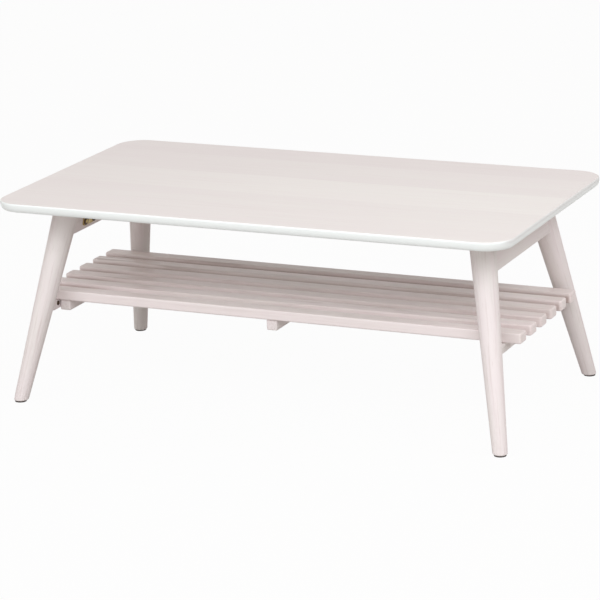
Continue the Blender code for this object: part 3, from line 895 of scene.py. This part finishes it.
def spring_tree():
    tree, source, output = new_tree("pin_springs", (("Coil radius", "NodeSocketFloat"),
                                                    ("Wire radius", "NodeSocketFloat"),
                                                    ("Turns", "NodeSocketFloat"),
                                                    ("Length", "NodeSocketFloat"),
                                                    ("Finish", "NodeSocketMaterial")))
    coil = add_node(tree, "GeometryNodeCurveSpiral", {"Resolution": 28,
                                                      "Rotations": source.outputs["Turns"],
                                                      "Start Radius": source.outputs["Coil radius"],
                                                      "End Radius": source.outputs["Coil radius"],
                                                      "Height": source.outputs["Length"]})
    wire = add_node(tree, "GeometryNodeCurvePrimitiveCircle", {"Resolution": 10,
                                                               "Radius": source.outputs["Wire radius"]})
    swept = add_node(tree, "GeometryNodeCurveToMesh", {"Curve": coil.outputs["Curve"],
                                                       "Profile Curve": wire.outputs["Curve"],
                                                       "Fill Caps": True})
    copies = copies_facing(tree, source, swept.outputs["Mesh"])
    end_tree(tree, copies, source.outputs["Finish"], output)
    return tree


spring_places = []
for end, side in CORNERS:
    outward = Vector((0.0, float(side), 0.0))
    spring_places.append((bracket_middle(end, side) + SPRING_FROM_MIDDLE * outward, outward))
springs = run_tree(facing_points("bracket_springs", spring_places), spring_tree(), SPRING_SIZE)
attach(springs, "top")
print("springs:", len(spring_places))

# %% [markdown]
# ## Finishes on the solids that stay
# Aprons, rails, battens, brackets, pins, dowels and glides keep their solid shapes, which are already
# right. They only take the finishes made above.

# %% Dress the solids
for name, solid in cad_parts.items():
    if "bracket_pin" in name or "dowel" in name:
        finish = DARK_STEEL
    elif "bracket" in name:
        finish = GOLD_FINISH
    elif "glide" in name:
        finish = GLIDE_FINISH
    elif "slat" in name:
        finish = SLAT_FINISH
    else:
        finish = CROSS_FINISH
    solid.data.materials.clear()
    solid.data.materials.append(finish)
print("solids dressed:", len(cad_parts))

# %% [markdown]
# ## Floor
# The table stands on a plain floor that looks white, like the photograph's background. A small share
# of it is matt, so that a faint shadow stays under the feet.

# %% Floor
WHITE = (1.0, 1.0, 1.0, 1.0)
FLOOR_REACH = 12.0
FLOOR_GREY = (0.56, 0.54, 0.525, 1.0)
FLOOR_WHITE_SHARE = 0.965

floor_mesh = bpy.data.meshes.new("floor")
floor_mesh.from_pydata([(-FLOOR_REACH, -FLOOR_REACH, 0.0), (FLOOR_REACH, -FLOOR_REACH, 0.0),
                        (FLOOR_REACH, FLOOR_REACH, 0.0), (-FLOOR_REACH, FLOOR_REACH, 0.0)],
                       [], [(0, 1, 2, 3)])
floor = bpy.data.objects.new("floor", floor_mesh)
bpy.context.scene.collection.objects.link(floor)


def seen_directly(tree):
    """1 for rays from the camera, and for those by way of gloss or glass."""
    rays = add_node(tree, "ShaderNodeLightPath")
    either = calculate(tree, "MAXIMUM", rays.outputs["Is Camera Ray"], rays.outputs["Is Glossy Ray"])
    return calculate(tree, "MAXIMUM", either, rays.outputs["Is Transmission Ray"])


def floor_finish():
    material = bpy.data.materials.new("white_floor")
    material.use_nodes = True
    tree = material.node_tree
    tree.nodes.clear()
    matt = add_node(tree, "ShaderNodeBsdfDiffuse", {"Color": FLOOR_GREY})
    white = add_node(tree, "ShaderNodeEmission", {"Color": WHITE, "Strength": 1.0})
    share = calculate(tree, "MULTIPLY", seen_directly(tree), FLOOR_WHITE_SHARE)
    surface = add_node(tree, "ShaderNodeMixShader", {0: share, 1: matt.outputs[0], 2: white.outputs[0]})
    add_node(tree, "ShaderNodeOutputMaterial", {"Surface": surface.outputs[0]})
    return material


floor.data.materials.append(floor_finish())
print("floor finish:", floor.data.materials[0].name)

# %% [markdown]
# ## Light
# Large soft lamps light the table from the front, from both sides and from above. The light of the
# room fills the shadows and is a little warmer than the lamps.

# %% Light
ROOM_TINT = (1.0, 0.91, 0.84, 1.0)
ROOM_STRENGTH = 0.40
LAMP_TINT = (0.95, 1.0, 1.03)
LAMP_TARGET = Vector((0.0, 0.0, 0.2))


def light_room():
    """A room that gives warm light and looks white."""
    world = bpy.data.worlds.new("soft_room")
    bpy.context.scene.world = world
    world.use_nodes = True
    tree = world.node_tree
    tree.nodes.clear()
    warm = add_node(tree, "ShaderNodeBackground", {"Color": ROOM_TINT, "Strength": ROOM_STRENGTH})
    white = add_node(tree, "ShaderNodeBackground", {"Color": WHITE, "Strength": 1.0})
    room = add_node(tree, "ShaderNodeMixShader", {0: seen_directly(tree),
                                                  1: warm.outputs[0],
                                                  2: white.outputs[0]})
    add_node(tree, "ShaderNodeOutputWorld", {"Surface": room.outputs[0]})


def soft_lamp(name, place, size, power):
    """A square lamp that faces the table."""
    lamp = bpy.data.lights.new(name, "AREA")
    lamp.size = size
    lamp.energy = power
    lamp.color = LAMP_TINT
    stand = bpy.data.objects.new(name, lamp)
    stand.location = place
    stand.rotation_euler = (LAMP_TARGET - Vector(place)).to_track_quat("-Z", "Y").to_euler()
    bpy.context.scene.collection.objects.link(stand)


light_room()
soft_lamp("overhead_softbox", (0.0, -1.6, 2.6), 3.0, 22.0)
soft_lamp("front_softbox", (0.3, -3.0, 1.6), 3.2, 28.0)
soft_lamp("left_softbox", (-1.9, -2.6, 2.2), 1.6, 18.0)
soft_lamp("right_softbox", (2.1, -2.6, 2.2), 1.6, 33.0)
soft_lamp("side_softbox", (2.6, 0.3, 2.2), 1.6, 24.0)
print("lamps:", len(bpy.data.lights))

# %% [markdown]
# ## Camera
# The camera stands far off with a long lens, as it did for the photograph, so that lines which run
# away from it hardly draw together. Three angles turn it, the last one about its own line of sight.

# %% Camera
VIEW_AZIMUTH = 24.347
VIEW_ELEVATION = 15.852
VIEW_ROLL = -1.695
CAMERA_PLACE = (1.8637, -4.1357, 1.4430)
LENS_LENGTH = 168.35

camera_data = bpy.data.cameras.new("photo_camera")
camera_data.sensor_width = 36.0
camera_data.lens = LENS_LENGTH
camera_data.clip_end = 50.0
camera = bpy.data.objects.new("photo_camera", camera_data)
bpy.context.scene.collection.objects.link(camera)
azimuth, elevation, roll = (math.radians(angle) for angle in (VIEW_AZIMUTH, VIEW_ELEVATION, VIEW_ROLL))
towards_camera = Vector((math.sin(azimuth) * math.cos(elevation),
                         -math.cos(azimuth) * math.cos(elevation),
                         math.sin(elevation)))
right = (-towards_camera).cross(Vector((0.0, 0.0, 1.0))).normalized()
upward = right.cross(-towards_camera)
camera_x = math.cos(roll) * right + math.sin(roll) * upward
camera_y = -math.sin(roll) * right + math.cos(roll) * upward
camera.matrix_world = (Matrix.Translation(CAMERA_PLACE)
                       @ Matrix((camera_x, camera_y, towards_camera)).transposed().to_4x4())
bpy.context.scene.camera = camera
bpy.context.scene.view_settings.view_transform = "Standard"
print("camera at", CAMERA_PLACE, "with a lens of", LENS_LENGTH, "mm")
